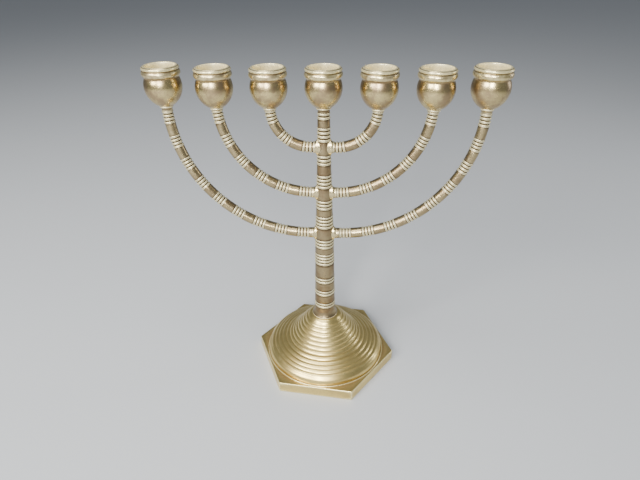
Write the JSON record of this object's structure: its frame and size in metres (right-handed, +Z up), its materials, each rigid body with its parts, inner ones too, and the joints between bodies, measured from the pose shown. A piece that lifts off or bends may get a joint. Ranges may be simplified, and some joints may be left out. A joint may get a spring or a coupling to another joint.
{
  "type": "candelabrum",
  "caption": "Branched brass candelabrum: ringed curved arms in one plane, round cups for taper candles, tapered turned stem, hexagonal foot with a ribbed dome.",
  "frame": {"origin": "middle of the foot's resting face, on the stem's axis", "axes": "+Z up the stem, arms spread along X, +Y towards the back"},
  "size_m": [0.2728, 0.1242, 0.2833],
  "materials": {
    "foot": "satin, fine turned rings, lightly worn",
    "stem": "satin, brown patina between bright ring edges",
    "arm": "satin, brown patina between bright ring edges",
    "braze": "bright, smooth flowed braze",
    "cup": "semi-gloss, mottled tarnish",
    "fixing_brass": "machined",
    "fixing_steel": "dull zinc plated"
  },
  "bodies": {
    "root": {"foot": "foot", "stem": "stem", "foot_stud": "fixing_steel", "foot_washer": "fixing_steel", "foot_nut": "fixing_steel", "cup_centre": "cup", "cup_screw_centre": "fixing_brass", "arm_inner_left": "arm", "root_braze_inner_left": "braze", "cup_inner_left": "cup", "cup_screw_inner_left": "fixing_brass", "arm_inner_right": "arm", "root_braze_inner_right": "braze", "cup_inner_right": "cup", "cup_screw_inner_right": "fixing_brass", "arm_middle_left": "arm", "root_braze_middle_left": "braze", "cup_middle_left": "cup", "cup_screw_middle_left": "fixing_brass", "arm_middle_right": "arm", "root_braze_middle_right": "braze", "cup_middle_right": "cup", "cup_screw_middle_right": "fixing_brass", "arm_outer_left": "arm", "root_braze_outer_left": "braze", "cup_outer_left": "cup", "cup_screw_outer_left": "fixing_brass", "arm_outer_right": "arm", "root_braze_outer_right": "braze", "cup_outer_right": "cup", "cup_screw_outer_right": "fixing_brass"}
  },
  "joints": []
}
